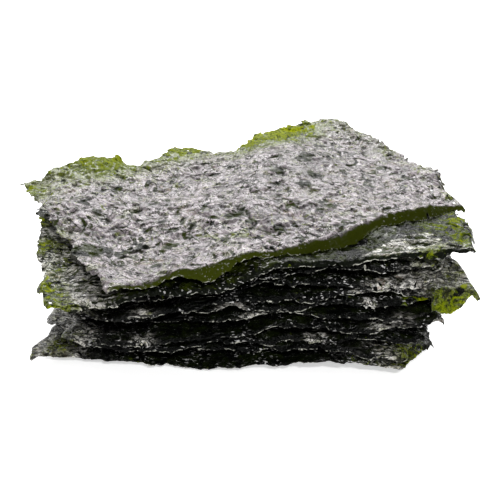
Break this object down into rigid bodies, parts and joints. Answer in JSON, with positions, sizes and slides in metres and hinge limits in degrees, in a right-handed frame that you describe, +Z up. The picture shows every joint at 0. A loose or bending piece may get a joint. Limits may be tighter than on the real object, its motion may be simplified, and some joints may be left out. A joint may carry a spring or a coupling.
{
  "type": "seaweed snack stack",
  "caption": "Loose stack of thin roasted seaweed sheets, wavy and crumbled at the edges, with the upper sheets turned like a fan.",
  "frame": {"origin": "centre of the bounding box's underside, on the surface the stack lies on", "axes": "+Z up through the stack; +X along the lower sheets' long side, towards the ends that stand out most; -Y towards the front edges that the picture shows"},
  "size_m": [0.106, 0.0918, 0.0364],
  "materials": {
    "leaf": "roasted seaweed: near-black green, rough and crinkled, with a dull grey sheen"
  },
  "bodies": {
    "root": {"sheet_01": "leaf", "sheet_02": "leaf", "sheet_03": "leaf", "sheet_04": "leaf", "sheet_05": "leaf", "sheet_06": "leaf", "sheet_07": "leaf", "sheet_08": "leaf", "sheet_09": "leaf", "sheet_10": "leaf", "sheet_11": "leaf"}
  },
  "joints": []
}
